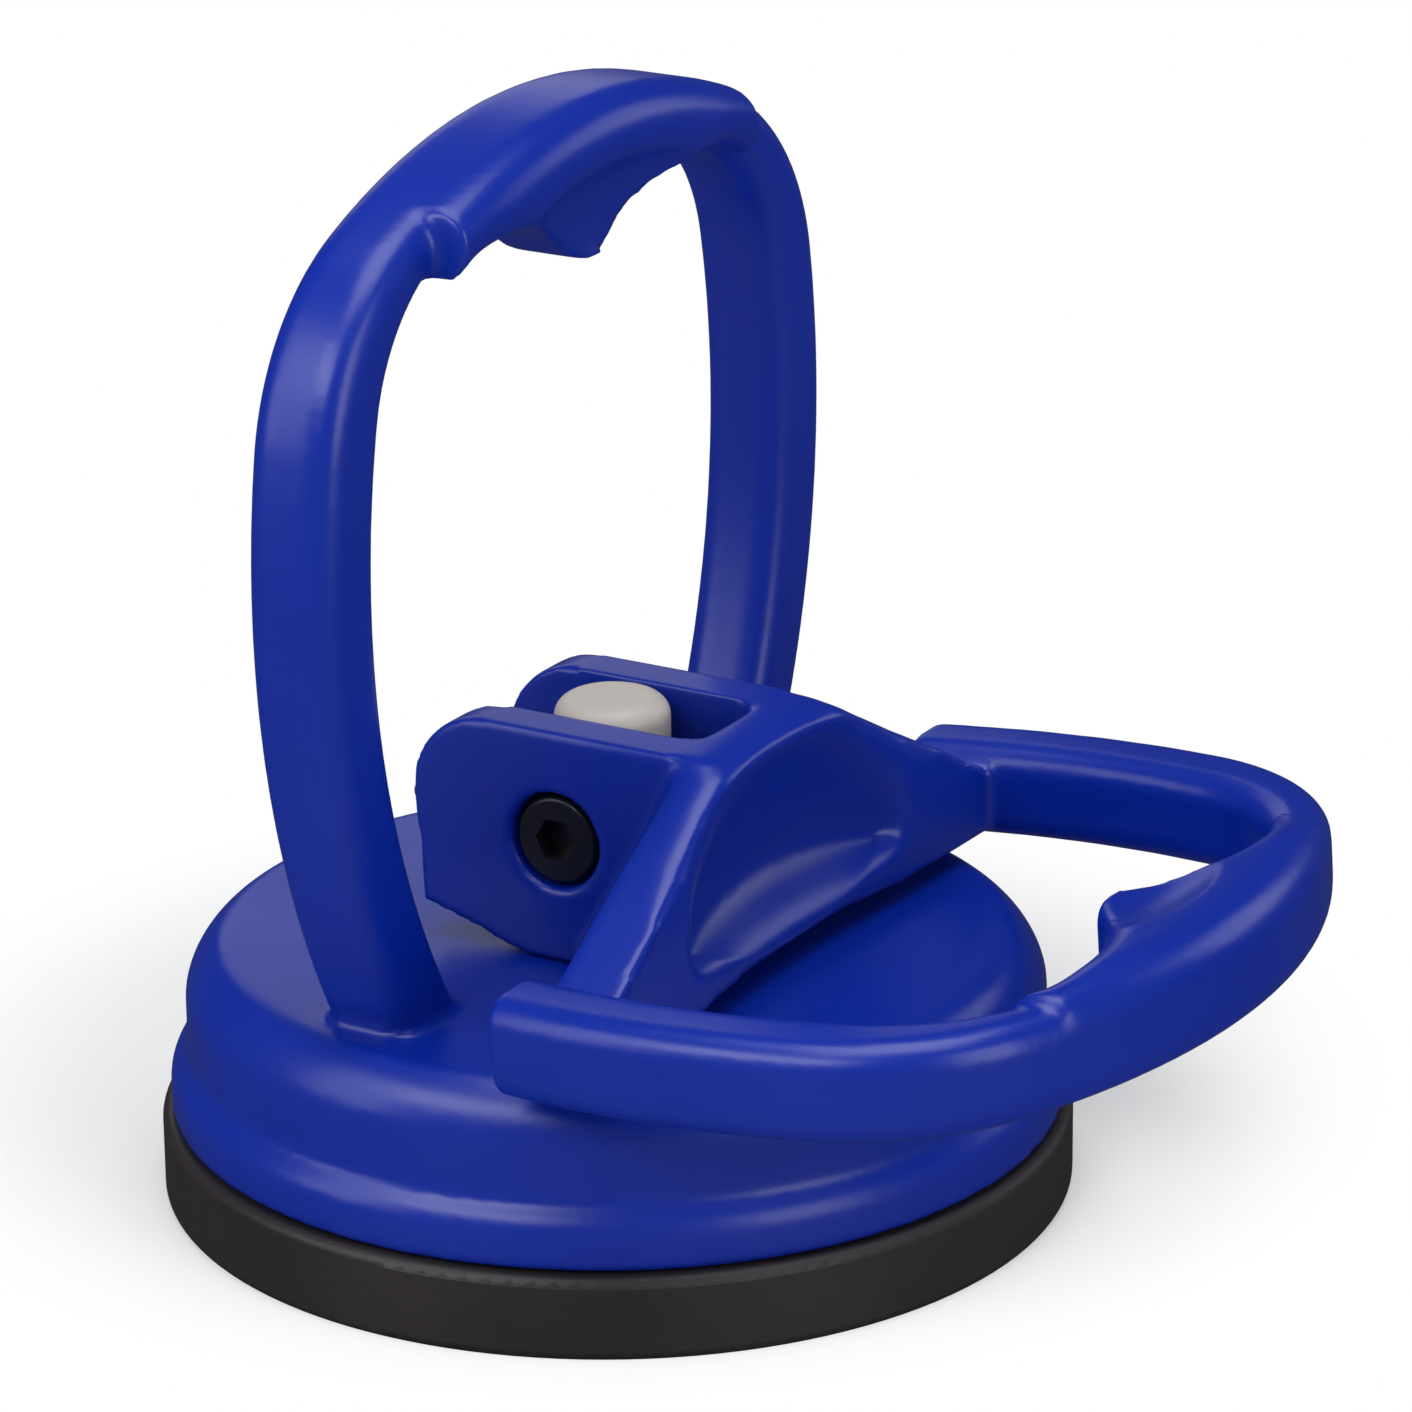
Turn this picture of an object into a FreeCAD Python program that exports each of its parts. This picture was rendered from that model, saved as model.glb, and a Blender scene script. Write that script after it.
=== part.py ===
import FreeCAD, Part
import math
import os

import Sketcher

# Single-cup suction lifter: a round base moulded in one piece with a fixed loop
# handle, a cam lever with a matching loop, a flexible pad, and the pull post that
# joins the pad to the lever's pin.
#
# Frame: millimetres, +Z up, origin at the centre of the pad's sealing face.  The
# lever's pin lies along Y above the origin and the lowered lever points along +X.

os.makedirs("parts", exist_ok=True)
doc = FreeCAD.newDocument("SuctionLifter")

# ---------------------------------------------------------------- driving sizes
SIZES = [
    # flexible pad
    ("pad_lip", 0.6), ("pad_rim_height", 5.3), ("pad_edge_round", 0.6),
    ("pad_ring_width", 1.5), ("pad_ring_height", 1.6), ("pad_ring_slack", 0.2),
    # round base
    ("flange_width", 1.1), ("flange_side_height", 2.3), ("flange_bevel", 0.35),
    ("crease_round", 2.4), ("drum_radius", 26.8), ("drum_foot_height", 4.0),
    ("drum_wall", 2.6), ("shoulder_height", 13.0), ("shoulder_round", 4.6),
    ("deck_inset", 2.4), ("deck_height", 16.3), ("deck_thickness", 2.6),
    ("guide_wall", 1.8), ("guide_depth", 2.4), ("rib_thickness", 1.4), ("rib_depth", 2.2),
    ("rib_bite", 0.3),
    # pull post and its plate
    ("plate_radius", 14.0), ("plate_thickness", 2.2), ("plate_edge", 0.6),
    ("post_radius", 3.6), ("post_foot_round", 1.0), ("post_head", 7.3),
    ("post_round", 1.3), ("post_slack", 0.2),
    # pin: socket-head screw and captive nut
    ("screw_radius", 1.5), ("screw_point", 0.4), ("screw_shortfall", 0.6), ("head_radius", 2.75),
    ("head_height", 2.0), ("head_round", 0.3), ("socket_width", 2.5),
    ("socket_depth", 1.3), ("counterbore_slack", 0.35), ("counterbore_depth", 2.3),
    ("pin_slack", 0.06), ("nut_width", 5.5), ("nut_height", 2.0), ("nut_slack", 0.1),
    ("thread_slack", 0.01),
    # both loops, which share one outline
    ("bar_width", 5.7), ("bar_depth", 6.2), ("bar_round", 1.8),
    ("crown_radius", 45.0), ("corner_radius", 15.5), ("side_radius", 58.0),
    ("inner_corner_radius", 11.0), ("groove_radius", 13.9), ("groove_offset", 11.2),
    ("grip_depth", 6.0), ("bump_rise", 4.1), ("grip_half_width", 16.8),
    ("crown_round", 2.7), ("groove_round", 1.8),
    # fixed loop
    ("handle_reach", 45.0), ("handle_setback", 4.2), ("handle_grip_rise", 2.5), ("foot_sink", 1.2),
    # lever
    ("lever_reach", 44.2), ("rail_start", 8.4), ("rail_drop", 4.5), ("lever_grip_rise", 1.0),
    ("ear_gap_slack", 0.3), ("ear_thickness", 3.2), ("ear_top", 7.0),
    ("ear_back_flat", 0.6), ("ear_front_inset", 1.6), ("ear_foot_front", 1.6),
    ("ear_foot_slope", 1.8), ("cam_radius", 9.0), ("cam_offset", 1.2), ("cam_gap", 0.1),
    ("slot_slack", 0.3), ("slot_round", 1.5),
    ("web_top_back", 9.2), ("web_top_front", 12.6), ("web_top_drop", 0.4),
    ("web_foot_front", 13.5), ("web_foot_back", 1.9), ("web_bottom", 6.7),
    ("web_end_half", 24.0), ("web_end_top", 3.2), ("web_end_back", 9.5),
    ("web_end_front", 14.1),
    ("hollow_floor", 3.9), ("hollow_depth", 3.9), ("hollow_half", 12.0),
    ("hollow_top", 5.0), ("hollow_top_depth", 0.8), ("hollow_top_half", 2.5),
]
CROWN_SWEEP = 25.5        # degrees of the loop's crown, from its middle to one side
CORNER_SWEEP = 55.0       # degrees of each rounded corner
RAIL_TILT = 3.7           # degrees that the lever's loop rises towards its end
RIB_COUNT = 6
FILLET_MARGIN = 0.1       # left between a grip's fillet and the loop's own
FACE_MARGIN = 1.5         # how far the hollow's cut stands out of the web's face

sheet = doc.addObject("Spreadsheet::Sheet", "Sizes")
for row, (alias, value) in enumerate(SIZES, start=1):
    sheet.set("A%d" % row, alias.replace("_", " "))
    sheet.set("B%d" % row, "%g" % value)
    sheet.setAlias("B%d" % row, alias)
doc.recompute()


class Size:
    """A length from the sheet, or a sum of them, with the expression that gives it."""

    def __init__(self, value, text):
        self.value = float(value)
        self.text = text

    def __add__(self, other):
        other = as_size(other)
        return Size(self.value + other.value, "(%s + %s)" % (self.text, other.text))

    def __sub__(self, other):
        other = as_size(other)
        return Size(self.value - other.value, "(%s - %s)" % (self.text, other.text))

    def __mul__(self, factor):
        return Size(self.value * factor, "(%s * %g)" % (self.text, factor))

    def __neg__(self):
        return self * -1


def as_size(item):
    return item if isinstance(item, Size) else Size(item, "%.6f" % item)


def size(alias):
    return Size(sheet.get(alias), "Sizes.%s" % alias)


ZERO = Size(0, "0")


def flange_radius():
    return size("drum_radius") + size("flange_width")


def pivot_height():
    """The pin stands over the deck by the cam's height when the lever is down."""
    return (size("deck_height") + size("cam_radius") - size("cam_offset")
            + size("cam_gap"))


# ------------------------------------------------------------ modelling helpers
def new_body(label):
    body = doc.addObject("PartDesign::Body", label + "_body")
    body.Label = label
    return body


def origin_item(body, role):
    return [item for item in body.Origin.OriginFeatures if item.Role == role][0]


def new_sketch(body, name, role, offset=None, turn=None):
    """Sketch on one of the body's origin planes, moved by offset and turned by turn."""
    sketch = body.newObject("Sketcher::SketchObject", name)
    sketch.AttachmentSupport = [(origin_item(body, role), "")]
    sketch.MapMode = "FlatFace"
    place = FreeCAD.Placement()
    if turn is not None:
        place.Rotation = FreeCAD.Rotation(FreeCAD.Vector(*turn[0]), turn[1])
    if offset is not None:
        place.Base = FreeCAD.Vector(*[as_size(item).value for item in offset])
    sketch.AttachmentOffset = place
    if offset is not None:
        for axis, item in zip("xyz", offset):
            if isinstance(item, Size):
                sketch.setExpression("AttachmentOffset.Base." + axis, item.text)
    return sketch


def pin_point(sketch, edge, end, x, y):
    """Hold one end of an edge at (x, y), bound to the sheet."""
    for kind, item in (("DistanceX", x), ("DistanceY", y)):
        item = as_size(item)
        if abs(item.value) < 1e-9 and item.text == "0":
            axis = -2 if kind == "DistanceX" else -1
            sketch.addConstraint(Sketcher.Constraint("PointOnObject", edge, end, axis))
            continue
        number = sketch.addConstraint(
            Sketcher.Constraint(kind, -1, 1, edge, end, item.value))
        if "Sizes." in item.text:
            sketch.setExpression("Constraints[%d]" % number, item.text)


def draw_outline(sketch, points, bulges=None):
    """Closed outline through points; bulges gives the radius of the arc that leaves a
    point, positive when it bends to the left."""
    bulges = bulges or {}
    spots = [FreeCAD.Vector(as_size(x).value, as_size(y).value, 0) for x, y in points]
    count = len(points)
    first = sketch.GeometryCount
    for index in range(count):
        start, end = spots[index], spots[(index + 1) % count]
        if index in bulges:
            radius = as_size(bulges[index]).value
            sketch.addGeometry(arc_between(start, end, radius))
        else:
            sketch.addGeometry(Part.LineSegment(start, end))
    for index in range(count):
        following = (index + 1) % count
        here = end_slot(bulges, index, False)
        there = end_slot(bulges, following, True)
        sketch.addConstraint(Sketcher.Constraint(
            "Coincident", first + index, here, first + following, there))
    for index, (x, y) in enumerate(points):
        pin_point(sketch, first + index, end_slot(bulges, index, True), x, y)
    for index, radius in bulges.items():
        radius = as_size(radius)
        number = sketch.addConstraint(
            Sketcher.Constraint("Radius", first + index, abs(radius.value)))
        if "Sizes." in radius.text:
            text = radius.text if radius.value > 0 else (-radius).text
            sketch.setExpression("Constraints[%d]" % number, text)
    return first


def end_slot(bulges, index, start):
    """Arcs are stored anticlockwise, so one that bends right has its ends swapped."""
    if index in bulges and as_size(bulges[index]).value < 0:
        start = not start
    return 1 if start else 2


def arc_between(start, end, radius):
    """Short arc from start to end; a positive radius bends to the left."""
    chord = end - start
    half = chord.Length / 2.0
    rise = math.sqrt(max(radius * radius - half * half, 0.0))
    side = FreeCAD.Vector(-chord.y, chord.x, 0)
    side.normalize()
    centre = (start + end) * 0.5 + side * (rise if radius > 0 else -rise)
    begin, finish = (start, end) if radius > 0 else (end, start)
    first = math.atan2(begin.y - centre.y, begin.x - centre.x)
    last = math.atan2(finish.y - centre.y, finish.x - centre.x)
    if last < first:
        last += 2 * math.pi
    circle = Part.Circle(centre, FreeCAD.Vector(0, 0, 1), abs(radius))
    return Part.ArcOfCircle(circle, first, last)


def draw_circle(sketch, x, y, radius):
    x, y, radius = as_size(x), as_size(y), as_size(radius)
    edge = sketch.addGeometry(Part.Circle(
        FreeCAD.Vector(x.value, y.value, 0), FreeCAD.Vector(0, 0, 1), radius.value))
    pin_point(sketch, edge, 3, x, y)
    number = sketch.addConstraint(Sketcher.Constraint("Radius", edge, radius.value))
    if "Sizes." in radius.text:
        sketch.setExpression("Constraints[%d]" % number, radius.text)
    return edge


def draw_hexagon(sketch, x, y, across):
    """Regular hexagon with two flats square to the sketch's second axis."""
    x, y = as_size(x), as_size(y)
    share = as_size(across) * (1 / math.sqrt(3))
    points = []
    for step in range(6):
        angle = math.radians(60 * step)
        points.append((x + share * round(math.cos(angle), 6),
                       y + share * round(math.sin(angle), 6)))
    draw_outline(sketch, points)


def pad(body, sketch, length, both_ways=False, reverse=False, name="Pad"):
    feature = body.newObject("PartDesign::Pad", name)
    feature.Profile = sketch
    length = as_size(length)
    feature.Length = length.value
    if "Sizes." in length.text:
        feature.setExpression("Length", length.text)
    feature.Midplane = both_ways
    feature.Reversed = reverse
    doc.recompute()
    return feature


def pocket(body, sketch, length=None, both_ways=False, reverse=False, name="Pocket"):
    """Cut through all when length is None; stops if nothing was cut."""
    before = body.Shape.Volume
    feature = body.newObject("PartDesign::Pocket", name)
    feature.Profile = sketch
    if length is None:
        feature.Type = "ThroughAll"
    else:
        length = as_size(length)
        feature.Length = length.value
        if "Sizes." in length.text:
            feature.setExpression("Length", length.text)
    feature.Midplane = both_ways
    feature.Reversed = reverse
    doc.recompute()
    if not body.Shape.Volume < before - 1e-3:
        raise RuntimeError("%s cut nothing" % name)
    return feature


def loft(body, sections, name, cut=False):
    """Straight-ruled loft between sections that have as many corners each."""
    kind = "PartDesign::SubtractiveLoft" if cut else "PartDesign::AdditiveLoft"
    feature = body.newObject(kind, name)
    feature.Profile = sections[0]
    feature.Sections = sections[1:]
    feature.Ruled = True
    doc.recompute()
    return feature


def revolve(body, sketch, name="Revolution"):
    feature = body.newObject("PartDesign::Revolution", name)
    feature.Profile = sketch
    feature.ReferenceAxis = (sketch, ["V_Axis"])
    feature.Angle = 360
    doc.recompute()
    return feature


def round_edges(body, radius, keep, name="Fillet", chamfer=False):
    """Fillet or chamfer the edges of the body's tip that keep(edge) picks."""
    tip = body.Tip
    names = ["Edge%d" % (number + 1) for number, edge in enumerate(tip.Shape.Edges)
             if keep(edge)]
    if not names:
        raise RuntimeError("%s found no edge" % name)
    kind = "PartDesign::Chamfer" if chamfer else "PartDesign::Fillet"
    feature = body.newObject(kind, name)
    feature.Base = (tip, names)
    radius = as_size(radius)
    prop = "Size" if chamfer else "Radius"
    setattr(feature, prop, radius.value)
    if "Sizes." in radius.text:
        feature.setExpression(prop, radius.text)
    doc.recompute()
    return feature


def edge_middle(edge):
    first, last = edge.ParameterRange
    return edge.valueAt((first + last) / 2)


# -------------------------------------------------------- shape of the two loops
def from_centre(centre, radius, angle):
    """Point on a circle, at an angle in degrees that is turned from the loop's axis
    towards its side."""
    turned = math.radians(angle)
    return (centre[0] + radius * math.sin(turned), centre[1] + radius * math.cos(turned))


def towards(start, end, distance):
    """Point at a distance from start on the line to end."""
    length = math.hypot(end[0] - start[0], end[1] - start[1])
    return (start[0] + (end[0] - start[0]) * distance / length,
            start[1] + (end[1] - start[1]) * distance / length)


def circles_meet(first, first_radius, second, second_radius):
    """Crossing of two circles that lies further along the loop."""
    gap = math.hypot(second[0] - first[0], second[1] - first[1])
    reach = (gap ** 2 + first_radius ** 2 - second_radius ** 2) / (2 * gap)
    rise = math.sqrt(first_radius ** 2 - reach ** 2)
    foot = towards(first, second, reach)
    across, along = (second[0] - first[0]) / gap, (second[1] - first[1]) / gap
    spots = [(foot[0] - along * rise, foot[1] + across * rise),
             (foot[0] + along * rise, foot[1] - across * rise)]
    return max(spots, key=lambda spot: spot[1])


class LoopShape:
    """Outline of a finger loop as (across, along) points about its own axis: a crown,
    rounded corners and bowed sides outside, and two finger grooves with a bump between
    them inside.  Every arc runs on smoothly into the next."""

    def __init__(self, reach, foot):
        self.reach, self.foot = reach, foot
        self.crown = size("crown_radius").value
        self.corner = size("corner_radius").value
        self.side = size("side_radius").value
        self.inner_side = self.side - size("bar_width").value
        self.inner_corner = size("inner_corner_radius").value
        self.groove = size("groove_radius").value
        self.crown_centre = (0.0, reach - self.crown)
        turn = CROWN_SWEEP
        self.crown_end = from_centre(self.crown_centre, self.crown, turn)
        corner_centre = from_centre(self.crown_end, -self.corner, turn)
        turn += CORNER_SWEEP
        self.corner_end = from_centre(corner_centre, self.corner, turn)
        self.side_centre = from_centre(self.corner_end, -self.side, turn)
        self.outer_foot = self.on_side(self.side)
        self.inner_foot = self.on_side(self.inner_side)
        self.trace_grooves()

    def on_side(self, radius):
        drop = self.foot - self.side_centre[1]
        return (self.side_centre[0] + math.sqrt(radius ** 2 - drop ** 2), self.foot)

    def trace_grooves(self):
        offset = size("groove_offset").value
        apex = self.reach - size("grip_depth").value
        self.groove_centre = (offset, apex - self.groove)
        bump = apex - size("bump_rise").value
        depth = bump - self.groove_centre[1]
        self.nose = ((offset ** 2 + depth ** 2 - self.groove ** 2)
                     / (2 * (self.groove - depth)))
        self.nose_end = towards(self.groove_centre, (0.0, bump + self.nose), self.groove)
        self.inner_centre = circles_meet(
            self.side_centre, self.inner_side - self.inner_corner,
            self.groove_centre, self.groove - self.inner_corner)
        self.groove_end = towards(self.groove_centre, self.inner_centre, self.groove)
        self.inner_corner_end = towards(self.side_centre, self.inner_centre,
                                        self.inner_side)

    def outline(self):
        """Whole loop, anticlockwise from the right foot, with its arcs' radii."""
        outside = [self.outer_foot, self.corner_end, self.crown_end]
        inside = [self.inner_foot, self.inner_corner_end, self.groove_end, self.nose_end]
        points = outside + mirrored(outside)[::-1] + mirrored(inside) + inside[::-1]
        radii = [self.side, self.corner, self.crown, self.corner, self.side, None,
                 -self.inner_side, -self.inner_corner, -self.groove, self.nose,
                 -self.groove, -self.inner_corner, -self.inner_side]
        return points, {index: radius for index, radius in enumerate(radii) if radius}

    def grip(self):
        """Stretch of the loop between the two step faces of its grip."""
        half = size("grip_half_width").value
        outer = self.crown_centre[1] + math.sqrt(self.crown ** 2 - half ** 2)
        inner = self.inner_centre[1] + math.sqrt(
            self.inner_corner ** 2 - (half - self.inner_centre[0]) ** 2)
        inside = [(half, inner), self.groove_end, self.nose_end]
        points = [(half, outer), (-half, outer)] + mirrored(inside) + inside[::-1]
        return points, {0: self.crown, 2: -self.inner_corner, 3: -self.groove,
                        4: self.nose, 5: -self.groove, 6: -self.inner_corner}


def mirrored(points):
    return [(-across, along) for across, along in points]


class LoopPlane:
    """Middle plane of a loop: a point on it, the loop's axis and the plane's normal.
    new_plane(name) makes a sketch there; on a lying one the loop's axis is the sketch's
    first axis."""

    def __init__(self, middle, axis, normal, new_plane, lying):
        self.middle, self.axis, self.normal = middle, axis, normal
        self.new_plane, self.lying = new_plane, lying

    def draw(self, name, points, radii):
        sketch = self.new_plane(name)
        if self.lying:
            points = [(along, across) for across, along in points]
            radii = {index: -radius for index, radius in radii.items()}
        draw_outline(sketch, points, radii)
        return sketch

    def along(self, spot):
        return (spot - self.middle).dot(self.axis)

    def level(self, spot):
        return (spot - self.middle).dot(self.normal)


def add_loop(body, prefix, shape, plane, rise):
    """Loop of one thickness with rounded rims, and a grip that stands rise higher on
    the loop's upper face."""
    half = size("bar_depth") * 0.5
    bar = plane.draw(prefix + "Outline", *shape.outline())
    pad(body, bar, size("bar_depth"), both_ways=True, name=prefix + "Loop")

    def curved_at(edge, height):
        return (abs(plane.level(edge_middle(edge)) - height) < 1e-3
                and edge.Curve.TypeId != "Part::GeomLine")

    def near_crown(edge):
        spot = edge_middle(edge)
        from_middle = math.hypot(spot.y, plane.along(spot) - shape.crown_centre[1])
        return from_middle > shape.crown - size("grip_depth").value / 2

    round_edges(body, size("bar_round"), name=prefix + "Rims",
                keep=lambda edge: any(curved_at(edge, side * half.value)
                                      for side in (1, -1)))
    grip = plane.draw(prefix + "GripOutline", *shape.grip())
    pad(body, grip, half + rise, name=prefix + "Grip")
    top = (half + rise).value
    wall = size("bar_round") + rise - FILLET_MARGIN
    crown_round = min(size("crown_round"), wall, key=lambda item: item.value)
    groove_round = min(size("groove_round"), wall, key=lambda item: item.value)
    round_edges(body, crown_round, name=prefix + "GripCrown",
                keep=lambda edge: curved_at(edge, top) and near_crown(edge))
    round_edges(body, groove_round, name=prefix + "GripGrooves",
                keep=lambda edge: curved_at(edge, top) and not near_crown(edge))


# ---------------------------------------------------------------- flexible pad
def make_pad():
    body = new_body("suction_pad")
    sketch = new_sketch(body, "PadProfile", "XZ_Plane")
    radius, top = flange_radius() + size("pad_lip"), size("pad_rim_height")
    edge = size("pad_edge_round")
    ring_out = size("drum_radius") - size("drum_wall") - size("pad_ring_slack")
    ring_in = ring_out - size("pad_ring_width")
    ring_top = top + size("pad_ring_height")
    points = [(ZERO, ZERO), (radius - edge, ZERO), (radius, edge),
              (radius, top - edge), (radius - edge, top),
              (ring_out, top), (ring_out, ring_top), (ring_in, ring_top),
              (ring_in, top), (ZERO, top)]
    draw_outline(sketch, points, {1: edge, 3: edge})
    revolve(body, sketch)
    return body


# ------------------------------------------------------- base with fixed handle
def make_base():
    body = new_body("base_body")
    seat = size("pad_rim_height")
    flange_top = seat + size("flange_side_height")
    crease = seat + size("drum_foot_height")
    deck = size("deck_height")
    roof = deck - size("deck_thickness")
    inside = size("drum_radius") - size("drum_wall")
    hole = size("post_radius") + size("post_slack")
    guide = hole + size("guide_wall")
    guide_foot = roof - size("guide_depth")
    bevel = size("flange_bevel")

    # fixed loop, standing behind the pin with its feet in the deck
    back = -size("handle_setback")
    shape = LoopShape((pivot_height() + size("handle_reach")).value,
                      (deck - size("foot_sink")).value)
    plane = LoopPlane(
        FreeCAD.Vector(back.value, 0, 0), FreeCAD.Vector(0, 0, 1), FreeCAD.Vector(1, 0, 0),
        lambda name: new_sketch(body, name, "YZ_Plane", (ZERO, ZERO, back)), False)
    add_loop(body, "Handle", shape, plane, size("handle_grip_rise"))

    # cup: flange, drum wall, rounded shoulder, deck and the post's guide
    points = [(inside, seat), (flange_radius() - bevel * 2, seat),
              (flange_radius(), seat + bevel), (flange_radius(), flange_top),
              (size("drum_radius"), crease), (size("drum_radius"), size("shoulder_height")),
              (size("drum_radius") - size("deck_inset"), deck), (hole, deck), (hole, guide_foot),
              (guide, guide_foot), (guide, roof), (inside, roof)]
    sketch = new_sketch(body, "BaseProfile", "XZ_Plane")
    draw_outline(sketch, points, {3: size("crease_round"), 5: size("shoulder_round")})
    revolve(body, sketch)

    # stiffening ribs under the deck, from the guide to the drum wall
    bite = size("rib_bite")
    rib = new_sketch(body, "RibProfile", "XY_Plane", (ZERO, ZERO, roof + bite))
    half = size("rib_thickness") * 0.5
    start, end = guide - bite, inside + bite
    draw_outline(rib, [(start, -half), (end, -half), (end, half), (start, half)])
    rib_pad = pad(body, rib, size("rib_depth") + bite, reverse=True, name="Rib")
    ribs = body.newObject("PartDesign::PolarPattern", "Ribs")
    ribs.Originals = [rib_pad]
    ribs.Axis = (origin_item(body, "Z_Axis"), [""])
    ribs.Angle = 360
    ribs.Occurrences = RIB_COUNT
    body.Tip = ribs
    doc.recompute()
    return body


# -------------------------------------------------------------------- pull post
def make_post():
    body = new_body("pull_post")
    seat = size("pad_rim_height")
    plate_top = seat + size("plate_thickness")
    top = pivot_height() + size("post_head")
    radius, plate = size("post_radius"), size("plate_radius")
    edge, foot, ease = size("plate_edge"), size("post_foot_round"), size("post_round")
    points = [(ZERO, seat), (plate, seat), (plate, plate_top - edge),
              (plate - edge, plate_top), (radius + foot, plate_top),
              (radius, plate_top + foot), (radius, top - ease), (radius - ease, top),
              (ZERO, top)]
    sketch = new_sketch(body, "PostProfile", "XZ_Plane")
    draw_outline(sketch, points, {4: -foot, 6: ease})
    revolve(body, sketch)
    bore = new_sketch(body, "PostBore", "XZ_Plane")
    draw_circle(bore, ZERO, pivot_height(), size("screw_radius") + size("pin_slack"))
    pocket(body, bore, both_ways=True, name="PinBore")
    return body


# ------------------------------------------------------------------------ lever
def ear_inner():
    return size("post_radius") + size("ear_gap_slack")


def ear_outer():
    return ear_inner() + size("ear_thickness")


def slot_end():
    """Front end of the ears' slot, which the post's rounded head has to swing past."""
    radius, head, ease = size("post_radius"), size("post_head"), size("post_round")
    swing = math.hypot(radius.value - ease.value, head.value - ease.value)
    text = "sqrt((%s - %s)^2 + (%s - %s)^2)" % (radius.text, ease.text, head.text, ease.text)
    return Size(swing, text) + ease + size("slot_slack")


def make_lever():
    """Built about the pin, then lifted to the pin's height."""
    body = new_body("lever")
    inner, outer = ear_inner(), ear_outer()
    cam, shift = size("cam_radius"), size("cam_offset")
    top, floor = size("ear_top"), size("web_bottom")
    flat = size("ear_back_flat")
    bottom = cam - shift
    lock = cam + shift

    # loop, in a plane that rises towards its end
    tilt = math.radians(RAIL_TILT)
    level = -size("rail_drop").value - math.tan(tilt) * size("rail_start").value
    shape = LoopShape(size("lever_reach").value, size("rail_start").value)
    plane = LoopPlane(
        FreeCAD.Vector(0, 0, level), FreeCAD.Vector(math.cos(tilt), 0, math.sin(tilt)),
        FreeCAD.Vector(-math.sin(tilt), 0, math.cos(tilt)),
        lambda name: tilted_sketch(body, name, level), True)
    add_loop(body, "Lever", shape, plane, size("lever_grip_rise"))

    # web between the rails' roots: upright in the middle, then each flank sinks and
    # narrows in a straight line out to its rail
    web_top = top - size("web_top_drop")
    root = [(size("web_top_back"), web_top), (size("web_top_front"), web_top),
            (size("web_foot_front"), -floor), (size("web_foot_back"), -floor)]
    end_top = -size("web_end_top")
    end = [(size("web_end_back"), end_top), (size("web_end_front"), end_top),
           (size("web_end_front"), -floor), (size("web_end_back"), -floor)]
    middle = new_sketch(body, "WebMiddle", "XZ_Plane")
    draw_outline(middle, root)
    pad(body, middle, outer * 2, both_ways=True, name="Web")
    for side, letter in ((1, "Near"), (-1, "Far")):
        inside = new_sketch(body, "FlankRoot" + letter, "XZ_Plane",
                            (ZERO, ZERO, outer * side))
        draw_outline(inside, root)
        outside = new_sketch(body, "FlankEnd" + letter, "XZ_Plane",
                             (ZERO, ZERO, size("web_end_half") * side))
        draw_outline(outside, end)
        loft(body, [inside, outside], "Flank" + letter)

    # ears: one block with the cam outline, then the slot for the post
    ears = new_sketch(body, "EarOutline", "XZ_Plane")
    front = size("web_top_front") - size("ear_front_inset")
    foot = size("ear_foot_front")
    corner = top - shift - flat
    draw_outline(ears, [(-lock, shift), (-shift, -bottom), (foot, -bottom),
                        (foot + size("ear_foot_slope"), -floor), (front, -floor),
                        (front, top), (corner - lock, top), (-lock, shift + flat)],
                 {0: cam, 6: corner})
    pad(body, ears, outer * 2, both_ways=True, name="Ears")
    slot = new_sketch(body, "EarSlot", "XY_Plane")
    reach, ease = slot_end(), size("slot_round")
    open_end = -lock - ease
    draw_outline(slot, [(open_end, -inner), (reach - ease, -inner), (reach, ease - inner),
                        (reach, inner - ease), (reach - ease, inner), (open_end, inner)],
                 {1: ease, 3: ease})
    pocket(body, slot, both_ways=True, name="Slot")

    # hollow in the web's front, wide and deep at its ledge, shallow at the top
    sections = [
        hollow_section(body, "HollowFloor", -size("hollow_floor").value,
                       size("hollow_depth").value, size("hollow_half").value),
        hollow_section(body, "HollowTop", size("hollow_top").value,
                       size("hollow_top_depth").value, size("hollow_top_half").value)]
    before = body.Shape.Volume
    loft(body, sections, "Hollow", cut=True)
    if not body.Shape.Volume < before - 1e-3:
        raise RuntimeError("Hollow cut nothing")

    # pin hole, screw-head recess on one side and nut pocket on the other
    hole = new_sketch(body, "PinHole", "XZ_Plane")
    draw_circle(hole, ZERO, ZERO, size("screw_radius") + size("pin_slack"))
    pocket(body, hole, both_ways=True, name="PinHoleCut")
    recess = new_sketch(body, "HeadRecess", "XZ_Plane", (ZERO, ZERO, outer))
    draw_circle(recess, ZERO, ZERO, size("head_radius") + size("counterbore_slack"))
    pocket(body, recess, size("counterbore_depth"), name="HeadRecessCut")
    nut = new_sketch(body, "NutPocket", "XZ_Plane", (ZERO, ZERO, -outer))
    draw_hexagon(nut, ZERO, ZERO, size("nut_width") + size("nut_slack") * 2)
    pocket(body, nut, size("counterbore_depth"), reverse=True, name="NutPocketCut")

    body.Placement.Base = FreeCAD.Vector(0, 0, pivot_height().value)
    body.setExpression("Placement.Base.z", pivot_height().text)
    return body


def tilted_sketch(body, name, level):
    """Sketch plane whose first axis runs along the lever and rises by the tilt, and
    whose second axis is Y."""
    sketch = body.newObject("Sketcher::SketchObject", name)
    sketch.AttachmentSupport = [(origin_item(body, "XY_Plane"), "")]
    sketch.MapMode = "FlatFace"
    sketch.AttachmentOffset = FreeCAD.Placement(
        FreeCAD.Vector(0, 0, level),
        FreeCAD.Rotation(FreeCAD.Vector(0, 1, 0), -RAIL_TILT))
    return sketch


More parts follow.
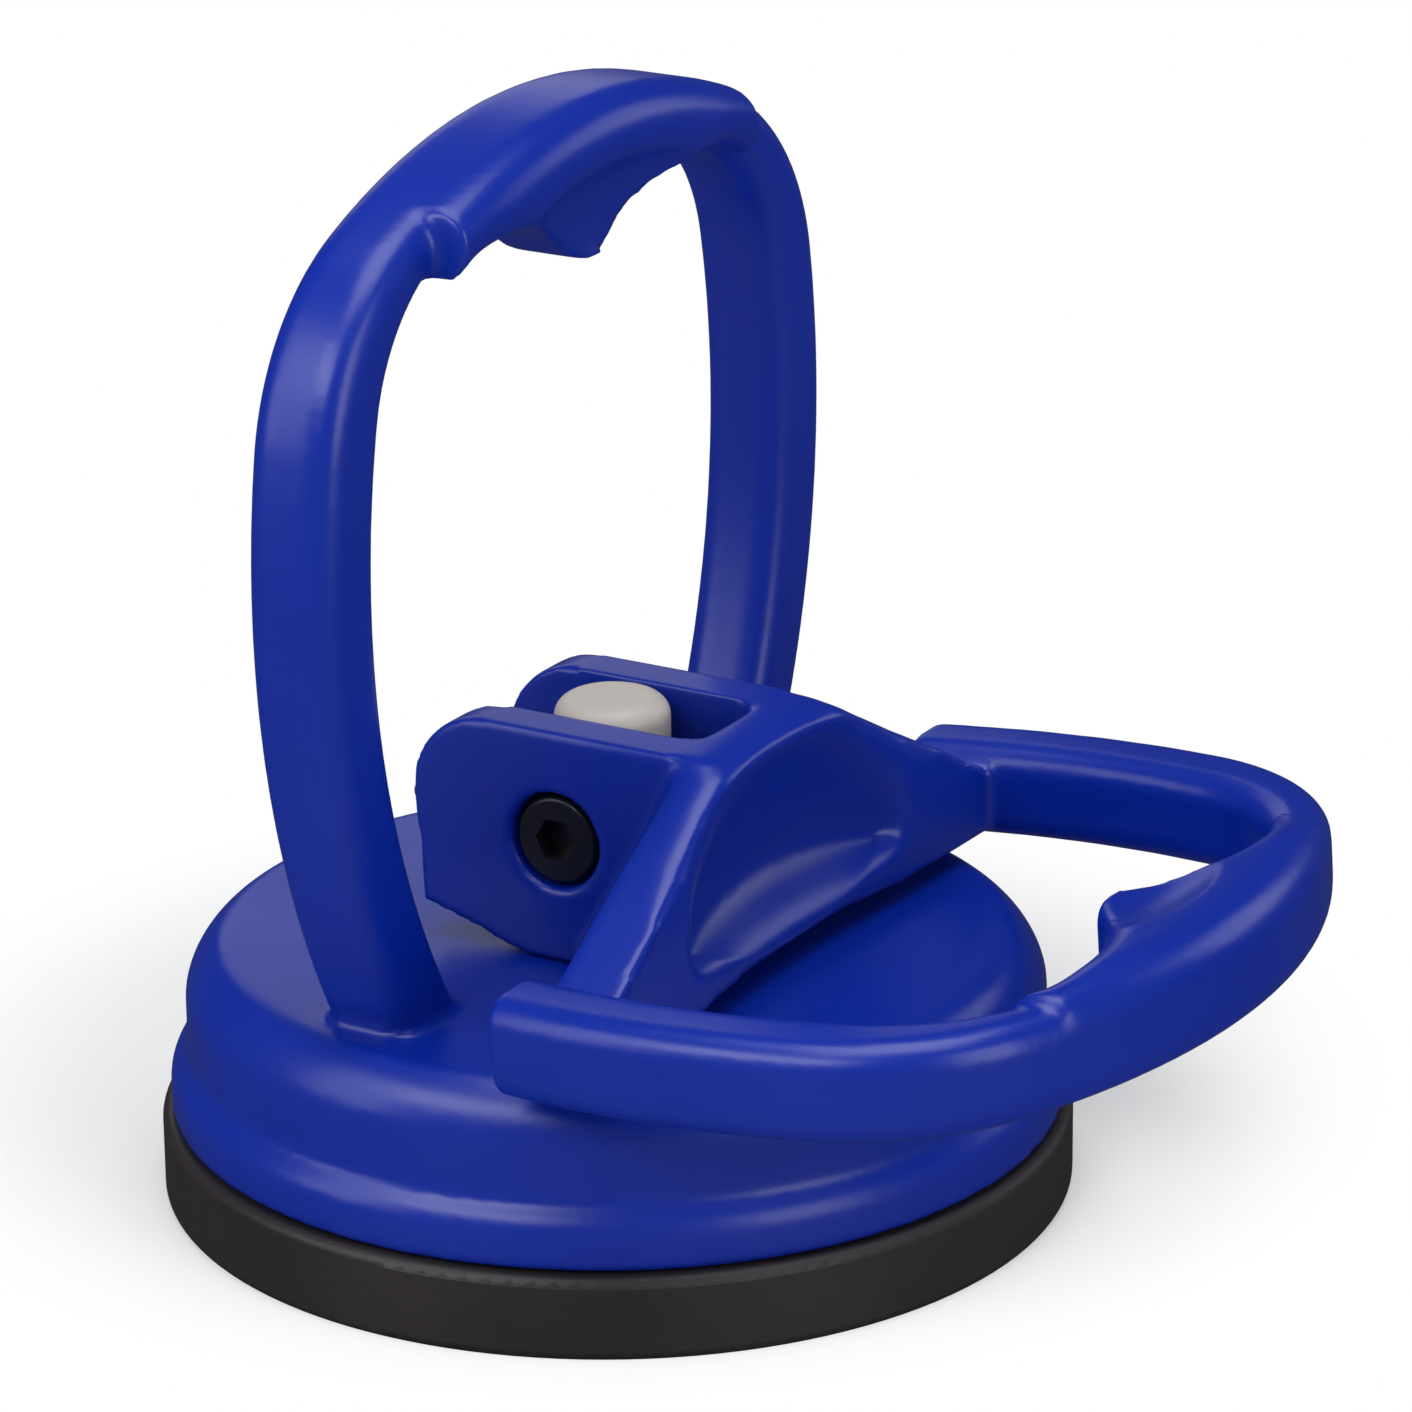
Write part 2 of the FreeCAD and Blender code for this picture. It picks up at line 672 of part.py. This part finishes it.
def hollow_section(body, name, level, depth, half):
    """Level slice of the hollow: a shallow arc into the web's front face, half wide to
    each side where it meets the face and depth deep in the middle."""
    foot, top = -size("web_bottom").value, (size("ear_top") - size("web_top_drop")).value
    share = (level - foot) / (top - foot)
    face = (size("web_foot_front").value * (1 - share)
            + size("web_top_front").value * share)
    radius = (half ** 2 + depth ** 2) / (2 * depth)
    outside = min(FACE_MARGIN, (radius - depth) / 2)
    spread = math.sqrt(radius ** 2 - (radius - depth - outside) ** 2)
    sketch = new_sketch(body, name, "XY_Plane", (ZERO, ZERO, level))
    draw_outline(sketch, [(face + outside, -spread), (face + outside, spread)],
                 {1: radius})
    return sketch


# ------------------------------------------------------------------ screw, nut
def make_screw():
    """Drawn along Z from the head's top, then laid along Y in the ears."""
    body = new_body("pivot_screw")
    outer = ear_outer()
    under_head = outer - size("counterbore_depth")
    point, ease = size("screw_point"), size("head_round")
    tip = size("screw_shortfall") - under_head - outer
    head, shank, height = size("head_radius"), size("screw_radius"), size("head_height")
    points = [(ZERO, tip), (shank - point, tip), (shank, tip + point), (shank, ZERO),
              (head, ZERO), (head, height - ease), (head - ease, height), (ZERO, height)]
    sketch = new_sketch(body, "ScrewProfile", "XZ_Plane")
    draw_outline(sketch, points, {5: ease})
    revolve(body, sketch)
    socket = new_sketch(body, "SocketProfile", "XY_Plane", (ZERO, ZERO, height))
    draw_hexagon(socket, ZERO, ZERO, size("socket_width"))
    pocket(body, socket, size("socket_depth"), name="Socket")
    body.Placement = FreeCAD.Placement(
        FreeCAD.Vector(0, -under_head.value, pivot_height().value),
        FreeCAD.Rotation(FreeCAD.Vector(1, 0, 0), 90))
    body.setExpression("Placement.Base.y", "-" + under_head.text)
    body.setExpression("Placement.Base.z", pivot_height().text)
    return body


def make_nut():
    body = new_body("pivot_nut")
    seat = ear_outer() - size("counterbore_depth")
    sketch = new_sketch(body, "NutProfile", "XZ_Plane", (ZERO, ZERO, -seat))
    draw_hexagon(sketch, ZERO, ZERO, size("nut_width"))
    draw_circle(sketch, ZERO, ZERO, size("screw_radius") + size("thread_slack"))
    pad(body, sketch, size("nut_height"), reverse=True, name="Nut")
    body.Placement.Base = FreeCAD.Vector(0, 0, pivot_height().value)
    body.setExpression("Placement.Base.z", pivot_height().text)
    return body


bodies = [make_pad(), make_base(), make_post(), make_lever(), make_screw(), make_nut()]
doc.recompute()

# ------------------------------------------------------------ checks and export
for item in doc.Objects:
    if "Invalid" in item.State or "Error" in item.State:
        raise RuntimeError("%s did not build: %s" % (item.Label, item.State))
for body in bodies:
    shape = body.Shape
    if shape.isNull() or not shape.isValid() or not shape.Solids:
        raise RuntimeError("%s is not a sound solid" % body.Label)
    box = shape.BoundBox
    print("%-12s solids %d volume %9.2f box x %.2f..%.2f y %.2f..%.2f z %.2f..%.2f" % (
        body.Label, len(shape.Solids), shape.Volume, box.XMin, box.XMax, box.YMin,
        box.YMax, box.ZMin, box.ZMax))
    shape.exportStep("parts/%s.step" % body.Label)
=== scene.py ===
import math

import bpy
from mathutils import Matrix, Vector


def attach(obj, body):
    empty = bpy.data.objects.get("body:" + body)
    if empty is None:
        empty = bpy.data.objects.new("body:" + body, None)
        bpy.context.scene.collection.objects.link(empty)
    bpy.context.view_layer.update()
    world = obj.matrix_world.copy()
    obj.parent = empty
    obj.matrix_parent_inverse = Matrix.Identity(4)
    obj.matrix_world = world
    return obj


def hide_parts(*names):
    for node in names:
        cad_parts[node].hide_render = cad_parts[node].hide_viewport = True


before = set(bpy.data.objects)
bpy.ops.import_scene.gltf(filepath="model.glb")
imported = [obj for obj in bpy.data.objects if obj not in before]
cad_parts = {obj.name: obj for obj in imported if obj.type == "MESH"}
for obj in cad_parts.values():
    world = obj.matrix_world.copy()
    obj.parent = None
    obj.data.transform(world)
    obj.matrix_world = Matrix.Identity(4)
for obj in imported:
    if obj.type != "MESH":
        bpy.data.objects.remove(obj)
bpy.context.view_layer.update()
print("nodes:", sorted(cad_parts))

# %% [markdown]
# Operators in Blender act on everything that is selected, so each step below starts
# from a clean selection. These two helpers do that.
# %% Selection helpers


def only(piece):
    bpy.ops.object.select_all(action="DESELECT")
    piece.select_set(True)
    bpy.context.view_layer.objects.active = piece


def apply_modifiers(piece):
    only(piece)
    for modifier in list(piece.modifiers):
        bpy.ops.object.modifier_apply(modifier=modifier.name)


# %% [markdown]
# The camera is a long lens from a little above and to the right, as for a hand tool in a
# catalogue. A long lens keeps the round base from looking stretched. Its place and two of
# its directions are written out, so the view is exact; the third follows from those two.
# %% Camera
CAMERA_PLACE = Vector((0.18667, -0.30195, 0.15740))
CAMERA_RIGHT = Vector((0.86073, 0.50896, -0.00982))
CAMERA_AHEAD = Vector((-0.48220, 0.80900, -0.33616))
CAMERA_LENS = 156.6
SENSOR_WIDTH = 36.0

camera_data = bpy.data.cameras.new("camera")
camera_data.lens = CAMERA_LENS
camera_data.sensor_width = SENSOR_WIDTH
camera_data.clip_start = 0.01
camera = bpy.data.objects.new("camera", camera_data)
bpy.context.scene.collection.objects.link(camera)
ahead = CAMERA_AHEAD.normalized()
right = (CAMERA_RIGHT - ahead * CAMERA_RIGHT.dot(ahead)).normalized()
up = right.cross(ahead)
turn = Matrix((right, up, -ahead)).transposed().to_4x4()
camera.matrix_world = Matrix.Translation(CAMERA_PLACE) @ turn
bpy.context.scene.camera = camera
print("camera stands %.3f m from the pad" % CAMERA_PLACE.length)

# %% [markdown]
# The tool is one moulded colour, so light does the drawing. Soft rectangular lamps suit
# glossy plastic, because it mirrors each one as a broad pale patch instead of a hard
# spot. This helper makes one, turned to face a point.
# %% Soft lamp


def soft_lamp(name, place, aim, width, height, watts):
    lamp_data = bpy.data.lights.new(name, "AREA")
    lamp_data.shape = "RECTANGLE"
    lamp_data.size, lamp_data.size_y = width, height
    lamp_data.energy = watts
    lamp = bpy.data.objects.new(name, lamp_data)
    bpy.context.scene.collection.objects.link(lamp)
    aimed = (Vector(aim) - Vector(place)).to_track_quat("-Z", "Y")
    lamp.matrix_world = Matrix.Translation(Vector(place)) @ aimed.to_matrix().to_4x4()
    print("lamp", name, "of", watts, "W")


# %% [markdown]
# A large lamp overhead and a wide one above the camera whiten the slopes that face up and
# forward. A tall one on the left lays the long highlight down the handle's leg, and a weak
# one on the right keeps the shaded sides from going black. Two low ones behind skim the
# tops and the hollow of the lever's web.
# %% Six lamps
CENTRE = Vector((0.008, 0.0, 0.03))
soft_lamp("overhead", (0.02, -0.02, 0.42), CENTRE, 0.30, 0.30, 0.95)
soft_lamp("front_top", (-0.06, -0.38, 0.34), CENTRE, 0.30, 0.16, 0.75)
soft_lamp("left_side", (-0.26, -0.30, 0.22), CENTRE, 0.20, 0.34, 0.42)
soft_lamp("right_fill", (0.40, -0.10, 0.16), CENTRE, 0.20, 0.30, 0.50)
soft_lamp("back_left", (-0.27, 0.30, 0.17), CENTRE, 0.20, 0.14, 0.06)
soft_lamp("back_right", (0.20, 0.34, 0.19), CENTRE, 0.20, 0.16, 0.14)

# %% [markdown]
# The world behind it all is white to the camera, a dim light to matt surfaces, and nearly
# dark to glossy ones, so that faces turned away from the lamps stay a deep blue. A Light
# Path node tells the three kinds of ray apart.
# %% World
WORLD_LIGHT = 0.42
WORLD_IN_GLOSS = 0.05
WORLD_TINT = (0.95, 0.97, 1.0, 1)
WHITE = (1, 1, 1, 1)

world = bpy.data.worlds.new("studio")
bpy.context.scene.world = world
world.use_nodes = True
nodes, links = world.node_tree.nodes, world.node_tree.links
nodes.clear()
output = nodes.new("ShaderNodeOutputWorld")
mix = nodes.new("ShaderNodeMixShader")
light = nodes.new("ShaderNodeBackground")
light.inputs["Color"].default_value = WORLD_TINT
seen = nodes.new("ShaderNodeBackground")
seen.inputs["Color"].default_value = WHITE
seen.inputs["Strength"].default_value = 1.0
rays = nodes.new("ShaderNodeLightPath")
strength = nodes.new("ShaderNodeMapRange")
strength.inputs["To Min"].default_value = WORLD_LIGHT
strength.inputs["To Max"].default_value = WORLD_IN_GLOSS
links.new(rays.outputs["Is Glossy Ray"], strength.inputs["Value"])
links.new(strength.outputs["Result"], light.inputs["Strength"])
either = nodes.new("ShaderNodeMath")
either.operation = "MAXIMUM"
links.new(rays.outputs["Is Camera Ray"], either.inputs[0])
links.new(rays.outputs["Is Transmission Ray"], either.inputs[1])
links.new(either.outputs[0], mix.inputs["Fac"])
links.new(light.outputs[0], mix.inputs[1])
links.new(seen.outputs[0], mix.inputs[2])
links.new(mix.outputs[0], output.inputs["Surface"])
print("world light", WORLD_LIGHT, "and in gloss", WORLD_IN_GLOSS)

# %% [markdown]
# The floor is a wide pale sheet that takes the tool's soft shadow. It lies a hair under
# the pad, so that the two flat faces don't flicker into each other, and reflections skip
# it, or its white would grey the blue plastic from below.
# %% Floor
FLOOR_SIDE = 6.0
FLOOR_DROP = 0.00005

bpy.ops.object.select_all(action="DESELECT")
bpy.ops.mesh.primitive_plane_add(size=FLOOR_SIDE, location=(0, 0, 0))
floor = bpy.context.active_object
floor.name = "floor"
floor.location = (0, 0, -FLOOR_DROP)
floor.visible_glossy = False
print("floor is", FLOOR_SIDE, "m wide")

# %% [markdown]
# Close to the pad the floor is mostly a matt grey that shows the shadow. Further out, what
# the camera sees of it turns to plain white, so it runs into the white background with no
# horizon. The turn goes by the distance from a point behind the pad's middle, so the
# shadow shows beside the pad and the floor in front of it is clean.
# %% Floor finish
FLOOR_GREY = (0.70, 0.70, 0.70, 1)
SHADOW_SHARE = 0.75
SHADOW_START, SHADOW_END = 0.031, 0.051
SHADOW_MIDDLE = (-0.0090, 0.0146, 0.0)

floor_finish = bpy.data.materials.new("floor_pale")
floor_finish.use_nodes = True
nodes, links = floor_finish.node_tree.nodes, floor_finish.node_tree.links
nodes.clear()
output = nodes.new("ShaderNodeOutputMaterial")
mix = nodes.new("ShaderNodeMixShader")
matt = nodes.new("ShaderNodeBsdfDiffuse")
matt.inputs["Color"].default_value = FLOOR_GREY
white = nodes.new("ShaderNodeEmission")
white.inputs["Strength"].default_value = 1.0
place = nodes.new("ShaderNodeTexCoord")
distance = nodes.new("ShaderNodeVectorMath")
distance.operation = "DISTANCE"
distance.inputs[1].default_value = SHADOW_MIDDLE
links.new(place.outputs["Object"], distance.inputs[0])
fade = nodes.new("ShaderNodeMapRange")
fade.interpolation_type = "SMOOTHSTEP"
fade.inputs["From Min"].default_value = SHADOW_START
fade.inputs["From Max"].default_value = SHADOW_END
fade.inputs["To Min"].default_value = 1 - SHADOW_SHARE
fade.inputs["To Max"].default_value = 1.0
links.new(distance.outputs["Value"], fade.inputs["Value"])
rays = nodes.new("ShaderNodeLightPath")
share = nodes.new("ShaderNodeMath")
share.operation = "MULTIPLY"
links.new(rays.outputs["Is Camera Ray"], share.inputs[0])
links.new(fade.outputs["Result"], share.inputs[1])
links.new(share.outputs[0], mix.inputs["Fac"])
links.new(matt.outputs[0], mix.inputs[1])
links.new(white.outputs[0], mix.inputs[2])
links.new(mix.outputs[0], output.inputs["Surface"])
floor.data.materials.append(floor_finish)
print("shadow fades out between", SHADOW_START, "and", SHADOW_END, "m")

# %% [markdown]
# Every finish starts from the same recipe: a base colour that drifts a little over the
# piece, a gloss that drifts too, and a fine bump, because a moulded or rubbed surface is
# never one flat value. All of it is noise on the piece's own coordinates, so it turns with
# the piece. What differs between the finishes is their numbers.
# %% Finish recipe
GRAIN_STRENGTH = 0.35


def finish(name, colour, deeper, gloss, grain_size, grain_depth, drift_size=60,
           metal=0.0, shine=0.5):
    """Material with drifting colour and roughness and a fine grain. gloss is the
    lowest and highest roughness; grain_size and drift_size are noise scales per
    metre, and grain_depth is in metres."""
    material = bpy.data.materials.new(name)
    material.use_nodes = True
    nodes, links = material.node_tree.nodes, material.node_tree.links
    shader = nodes["Principled BSDF"]
    shader.inputs["Metallic"].default_value = metal
    shader.inputs["Specular IOR Level"].default_value = shine
    place = nodes.new("ShaderNodeTexCoord")
    drift = nodes.new("ShaderNodeTexNoise")
    drift.inputs["Scale"].default_value = drift_size
    drift.inputs["Detail"].default_value = 3.0
    links.new(place.outputs["Object"], drift.inputs["Vector"])
    tint = nodes.new("ShaderNodeMix")
    tint.data_type = "RGBA"
    tint.inputs["A"].default_value = (*deeper, 1)
    tint.inputs["B"].default_value = (*colour, 1)
    links.new(drift.outputs["Fac"], tint.inputs["Factor"])
    links.new(tint.outputs["Result"], shader.inputs["Base Color"])
    rough = nodes.new("ShaderNodeMapRange")
    rough.inputs["From Min"].default_value = 0.3
    rough.inputs["From Max"].default_value = 0.7
    rough.inputs["To Min"].default_value = gloss[0]
    rough.inputs["To Max"].default_value = gloss[1]
    links.new(drift.outputs["Fac"], rough.inputs["Value"])
    links.new(rough.outputs["Result"], shader.inputs["Roughness"])
    grain = nodes.new("ShaderNodeTexNoise")
    grain.inputs["Scale"].default_value = grain_size
    grain.inputs["Detail"].default_value = 2.0
    links.new(place.outputs["Object"], grain.inputs["Vector"])
    bump = nodes.new("ShaderNodeBump")
    bump.inputs["Strength"].default_value = GRAIN_STRENGTH
    bump.inputs["Distance"].default_value = grain_depth
    links.new(grain.outputs["Fac"], bump.inputs["Height"])
    links.new(bump.outputs["Normal"], shader.inputs["Normal"])
    return material


def dress(piece, material):
    piece.data.materials.clear()
    piece.data.materials.append(material)
    print(piece.name, "is dressed in", material.name)


# %% [markdown]
# Five finishes. The blue plastic is satin, with less shine than glass, so its red and
# green stay low. The rubber is darker and coarser. The post is plain cream plastic, the
# screw is blackened steel and the nut plated steel. Both metals are only partly metallic,
# because a full metal would show little but the dark world in this light.
# %% Finishes
blue_plastic = finish("blue_moulded_plastic", (0.0006, 0.0190, 0.310),
                      (0.0004, 0.0160, 0.265), (0.27, 0.34), 2600, 0.00002, shine=0.50)
black_rubber = finish("black_rubber", (0.032, 0.025, 0.027), (0.016, 0.013, 0.014),
                      (0.42, 0.55), 3000, 0.00006, shine=0.50)
cream_plastic = finish("cream_moulded_plastic", (0.54, 0.50, 0.46), (0.47, 0.43, 0.39),
                       (0.35, 0.45), 2600, 0.00002)
black_steel = finish("black_oxide_steel", (0.030, 0.032, 0.042), (0.016, 0.017, 0.024),
                     (0.26, 0.38), 9000, 0.00001, metal=0.6)
zinc_steel = finish("zinc_plated_steel", (0.42, 0.43, 0.44), (0.33, 0.34, 0.36),
                    (0.25, 0.38), 7000, 0.00001, metal=0.3)

# %% [markdown]
# Two shaping tools. A ball squashed to three half sizes carves a soft hollow, and a prism
# drawn from an outline and pushed out along Y fills a corner. Both are thrown away once
# they have done their work. The lever turns about the pin, so its places are given from
# the pin's line.
# %% Ball and prism
PIN = Vector((0, 0, 0.0242))


def ball(centre, half_sizes, turn=0.0, upper_half=False):
    """Squashed ball, or its upper half; turn tips it about Y by so many degrees."""
    bpy.ops.object.select_all(action="DESELECT")
    bpy.ops.mesh.primitive_uv_sphere_add(segments=96, ring_count=48, radius=1,
                                         location=centre,
                                         rotation=(0, math.radians(turn), 0))
    tool = bpy.context.active_object
    tool.scale = half_sizes
    bpy.ops.object.transform_apply(location=True, rotation=True, scale=True)
    if upper_half:
        bpy.ops.object.mode_set(mode="EDIT")
        bpy.ops.mesh.select_all(action="SELECT")
        bpy.ops.mesh.bisect(plane_co=centre, plane_no=(0, 0, 1), use_fill=True,
                            clear_inner=True)
        bpy.ops.object.mode_set(mode="OBJECT")
    return tool


def prism(outline, low, high):
    """Solid with an outline of (x, z) points, between two values of y."""
    bpy.ops.object.select_all(action="DESELECT")
    bpy.ops.mesh.primitive_circle_add(vertices=len(outline), fill_type="NGON")
    tool = bpy.context.active_object
    for vertex, (x, z) in zip(tool.data.vertices, outline):
        vertex.co = (x, low, z)
    bpy.ops.object.mode_set(mode="EDIT")
    bpy.ops.mesh.select_all(action="SELECT")
    bpy.ops.mesh.extrude_region_move(TRANSFORM_OT_translate={"value": (0, high - low, 0)})
    bpy.ops.mesh.select_all(action="SELECT")
    bpy.ops.mesh.normals_make_consistent(inside=False)
    bpy.ops.object.mode_set(mode="OBJECT")
    return tool


# %% [markdown]
# To carve is to subtract a tool with an exact boolean. To fill is only to join the tool's
# skin to the piece, because the even skin made later fuses whatever overlaps.
# %% Carve and fill


def carve(piece, tool):
    cut = piece.modifiers.new("carve", "BOOLEAN")
    cut.operation, cut.solver, cut.object = "DIFFERENCE", "EXACT", tool
    apply_modifiers(piece)
    bpy.data.objects.remove(tool)


def fill(piece, tool):
    only(piece)
    tool.select_set(True)
    bpy.ops.object.join()


# %% [markdown]
# The base and the lever come out of a mould, so no edge on them is truly sharp and every
# inside corner has a small radius. A copy of the frame's solid is merged and shaped, then
# rebuilt as an even skin of small squares and relaxed a little, which rounds all edges
# and corners alike, as polishing a mould does. A bevel on every edge would tend to break
# where the curved bars run into flat faces.
# %% Even skin
RELAX = 0.5
MERGE_DISTANCE = 1e-6


def merged_copy(node, name):
    """Copy of a frame solid at the origin, its loose triangles joined up."""
    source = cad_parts[node]
    piece = bpy.data.objects.new(name, source.data.copy())
    bpy.context.scene.collection.objects.link(piece)
    piece.matrix_world = Matrix.Identity(4)
    only(piece)
    bpy.ops.object.mode_set(mode="EDIT")
    bpy.ops.mesh.select_all(action="SELECT")
    bpy.ops.mesh.remove_doubles(threshold=MERGE_DISTANCE)
    bpy.ops.object.mode_set(mode="OBJECT")
    return piece


def even_skin(piece, square, rounds):
    """Rebuild with squares of the given size, then relax the skin so many times."""
    skin = piece.modifiers.new("skin", "REMESH")
    skin.mode = "VOXEL"
    skin.voxel_size = square
    relax = piece.modifiers.new("relax", "SMOOTH")
    relax.factor, relax.iterations = RELAX, rounds
    apply_modifiers(piece)
    bpy.ops.object.shade_smooth()
    print(piece.name, "has", len(piece.data.polygons), "faces")


# %% [markdown]
# Some places are softer than the rest of the moulding, such as the bottom of a scoop.
# There the skin is relaxed again, through a vertex group that is full near the middle of
# a squashed ball and fades to nothing at its edge, so no border shows.
# %% Soften a place


def soften(piece, centre, half_sizes, rounds):
    group = piece.vertex_groups.new(name="soft")
    reached = 0
    for vertex in piece.data.vertices:
        away = [(vertex.co[axis] - centre[axis]) / half_sizes[axis] for axis in range(3)]
        weight = 1 - sum(part * part for part in away)
        if weight > 0:
            group.add([vertex.index], min(1, weight * 2), "REPLACE")
            reached += 1
    relax = piece.modifiers.new("soften", "SMOOTH")
    relax.factor, relax.iterations, relax.vertex_group = RELAX, rounds, "soft"
    apply_modifiers(piece)
    bpy.ops.object.vertex_group_remove(all=True)
    print(piece.name, "softened at", reached, "points")


# %% [markdown]
# The base with its fixed loop. The grip stands forward of the loop's bar, but the bump
# between the two finger grooves is only as deep as the bar, so a soft hollow takes the
# raised face away over the bump. Its half sizes are the hollow's reach along X, Y and Z.
# %% Base with handle
HANDLE_FACE = -0.0011
HANDLE_GROOVE_TOP = 0.0632
HANDLE_HOLLOW = (0.0050, 0.0140, 0.0050)
BASE_SQUARE = 0.00038
SKIN_ROUNDS = 5

base_shell = merged_copy("base_body", "base_with_handle")
hollow_middle = (HANDLE_FACE + HANDLE_HOLLOW[0], 0, HANDLE_GROOVE_TOP - 0.0020)
carve(base_shell, ball(hollow_middle, HANDLE_HOLLOW))
even_skin(base_shell, BASE_SQUARE, SKIN_ROUNDS)
dress(base_shell, blue_plastic)
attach(base_shell, "base")
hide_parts("base_body")

# %% [markdown]
# The cam lever starts as the base does. Its grip is eased over the bump like the fixed
# one, by a hollow that tips with the rails. The front of the web has a broad scoop, cut
# here by half a ball with a flat floor.
# %% Lever, carved
RAIL_TILT = 3.7
LEVER_BUMP = Vector((0.0362, 0, 0.0247))
LEVER_HOLLOW = (0.0066, 0.0140, 0.0066)
SCOOP_FLOOR = Vector((0.0139, 0, PIN.z - 0.0039))
SCOOP_SIZES = (0.0047, 0.0130, 0.0105)

lever_shell = merged_copy("lever", "cam_lever")
hollow_middle = LEVER_BUMP + Vector((0, 0, LEVER_HOLLOW[2]))
carve(lever_shell, ball(hollow_middle, LEVER_HOLLOW, -RAIL_TILT))
carve(lever_shell, ball(SCOOP_FLOOR, SCOOP_SIZES, upper_half=True))

# %% [markdown]
# The two ears end in a square corner low at the back, which the frame's solid leaves
# round. The corner's outline is given from the pin, and a prism fills it on each ear,
# between the ear's inner and outer face.
# %% Ear corners
EAR_INNER, EAR_OUTER = 0.0039, 0.0071
EAR_CORNER = [(-0.0100, 0.0010), (-0.0096, -0.0056), (-0.0025, -0.0076),
              (-0.0025, -0.0050), (-0.0050, 0.0010)]

corner_outline = [(x, PIN.z + z) for x, z in EAR_CORNER]
for low, high in ((-EAR_OUTER, -EAR_INNER), (EAR_INNER, EAR_OUTER)):
    fill(lever_shell, prism(corner_outline, low, high))

# %% [markdown]
# The lever's skin has slightly smaller squares, because its edges are closer together.
# The scoop is then softened twice, first wide and then deep at its floor, which turns
# the flat floor into the bowl of a spoon. The steps where the grip begins get a touch.
# %% Lever skin
LEVER_SQUARE = 0.00030
GRIP_STEP = (0.0405, 0.0168, 0.0262)
STEP_REACH = (0.0045, 0.0045, 0.0060)

even_skin(lever_shell, LEVER_SQUARE, SKIN_ROUNDS)
soften(lever_shell, (0.0135, 0, PIN.z + 0.0010), (0.0075, 0.0170, 0.0105), 120)
soften(lever_shell, (0.0118, 0, PIN.z + 0.0002), (0.0058, 0.0138, 0.0064), 450)
for side in (-1, 1):
    soften(lever_shell, (GRIP_STEP[0], side * GRIP_STEP[1], GRIP_STEP[2]), STEP_REACH, 10)
dress(lever_shell, blue_plastic)
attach(lever_shell, "lever")
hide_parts("lever")

# %% [markdown]
# The pad, the post, the screw and the nut have simple round or hexagonal forms with crisp
# edges, so they keep the frame's own solids and only take a finish each.
# %% Fittings
for node, material in (("suction_pad", black_rubber), ("pull_post", cream_plastic),
                       ("pivot_screw", black_steel), ("pivot_nut", zinc_steel)):
    dress(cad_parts[node], material)

# %% [markdown]
# The colours are judged as they are written, so the view transform is the plain one.
bpy.context.scene.view_settings.view_transform = "Standard"
